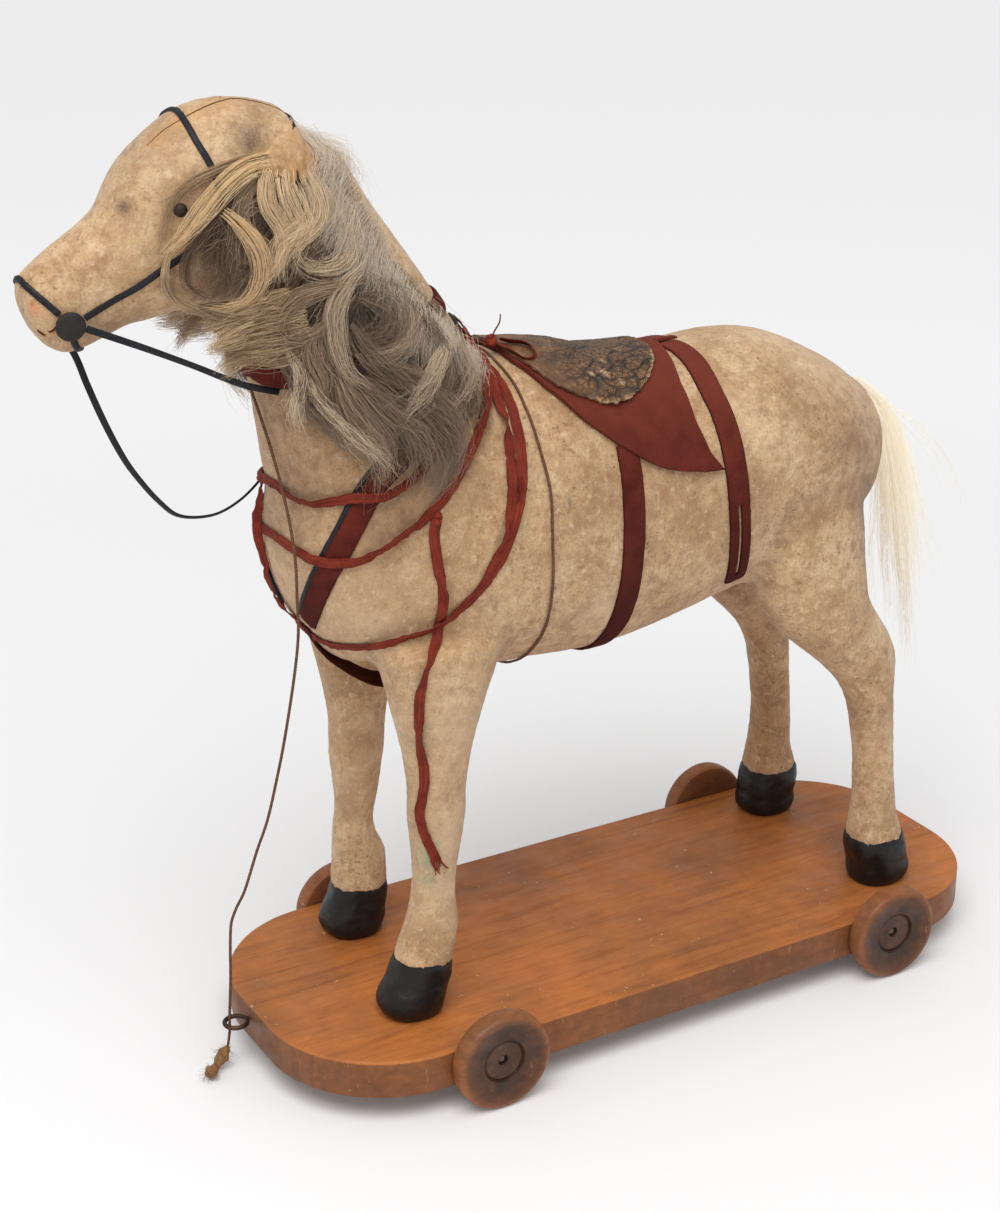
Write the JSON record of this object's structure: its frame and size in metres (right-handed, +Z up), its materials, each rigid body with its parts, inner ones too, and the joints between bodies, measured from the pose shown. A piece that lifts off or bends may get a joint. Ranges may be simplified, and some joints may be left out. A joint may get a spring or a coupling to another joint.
{
  "type": "horse pull toy",
  "caption": "Cloth-covered toy horse with felt saddle and strap bridle, pegged to a wooden board that rolls on pinned wooden wheels, with a pull cord.",
  "frame": {"origin": "middle of the toy's footprint on the floor", "axes": "the horse looks along -X, its own left side is -Y, +Z is up"},
  "size_m": [0.4728, 0.173, 0.4458],
  "materials": {
    "board_wood": "orange-brown varnish over close grain, worn at the edges",
    "wheel_wood": "turned wood, stained brown, rims worn paler",
    "pin_steel": "dull, tarnished",
    "eye_iron": "dark, lightly rusted wire",
    "dowel_wood": "plain turned wood",
    "hide": "cream napped covering, soiled, cracked and worn",
    "hoof_paint": "black gloss paint with a ragged upper edge",
    "eye_glass": "dark, worn glossy",
    "strap_black": "thin blue-black coated strap",
    "rosette_leather": "grey-brown leather disc",
    "felt_red": "dark red wool felt, matted",
    "seat_leather": "grey-brown, cracked, with a frayed cream edge",
    "ribbon_red": "faded orange-red woven ribbon",
    "cord_brown": "twisted brown twine",
    "mane_hair": "grey-blond wavy mohair",
    "tail_hair": "straight cream hair"
  },
  "bodies": {
    "horse_and_board": {"body_cord": "cord_brown", "breast_strap_left": "felt_red", "breast_strap_middle": "felt_red", "breast_strap_right": "felt_red", "browband": "strap_black", "cheek_strap_left": "strap_black", "cheek_strap_right": "strap_black", "chin_strap": "strap_black", "eye_left": "eye_glass", "eye_right": "eye_glass", "girth_strap": "felt_red", "head": "hide", "headpiece": "strap_black", "hoof_front_left": "hoof_paint", "hoof_front_right": "hoof_paint", "hoof_rear_left": "hoof_paint", "hoof_rear_right": "hoof_paint", "leg_dowel_front_left": "dowel_wood", "leg_dowel_front_right": "dowel_wood", "leg_dowel_rear_left": "dowel_wood", "leg_dowel_rear_right": "dowel_wood", "leg_front_left": "hide", "leg_front_right": "hide", "leg_rear_left": "hide", "leg_rear_right": "hide", "mane": "mane_hair", "neck": "hide", "neck_band": "felt_red", "noseband": "strap_black", "platform_board": "board_wood", "pull_cord": "cord_brown", "pull_cord_knot": "cord_brown", "rein_left": "strap_black", "rein_right": "strap_black", "ribbon_bow": "ribbon_red", "ribbon_end": "ribbon_red", "ribbon_loop_long": "ribbon_red", "ribbon_loop_middle": "ribbon_red", "ribbon_loop_short": "ribbon_red", "rosette_left": "rosette_leather", "rosette_right": "rosette_leather", "saddle_cloth": "felt_red", "screw_eye": "eye_iron", "seat_patch": "seat_leather", "stirrup_strap_left": "felt_red", "stirrup_strap_right": "felt_red", "tail": "tail_hair", "torso": "hide", "wheel_pin_front_left": "pin_steel", "wheel_pin_front_right": "pin_steel", "wheel_pin_rear_left": "pin_steel", "wheel_pin_rear_right": "pin_steel"},
    "wheel_front_left": {"wheel_front_left": "wheel_wood"},
    "wheel_front_right": {"wheel_front_right": "wheel_wood"},
    "wheel_rear_left": {"wheel_rear_left": "wheel_wood"},
    "wheel_rear_right": {"wheel_rear_right": "wheel_wood"}
  },
  "joints": [
    {"name": "wheel_front_left_spin", "type": "hinge", "parent": "horse_and_board", "child": "wheel_front_left", "pos_m": [-0.0671, -0.076, 0.0235], "axis": [0, 1, 0], "continuous": true},
    {"name": "wheel_front_right_spin", "type": "hinge", "parent": "horse_and_board", "child": "wheel_front_right", "pos_m": [-0.0671, 0.076, 0.0235], "axis": [0, 1, 0], "continuous": true},
    {"name": "wheel_rear_left_spin", "type": "hinge", "parent": "horse_and_board", "child": "wheel_rear_left", "pos_m": [0.1579, -0.076, 0.0235], "axis": [0, 1, 0], "continuous": true},
    {"name": "wheel_rear_right_spin", "type": "hinge", "parent": "horse_and_board", "child": "wheel_rear_right", "pos_m": [0.1579, 0.076, 0.0235], "axis": [0, 1, 0], "continuous": true}
  ]
}
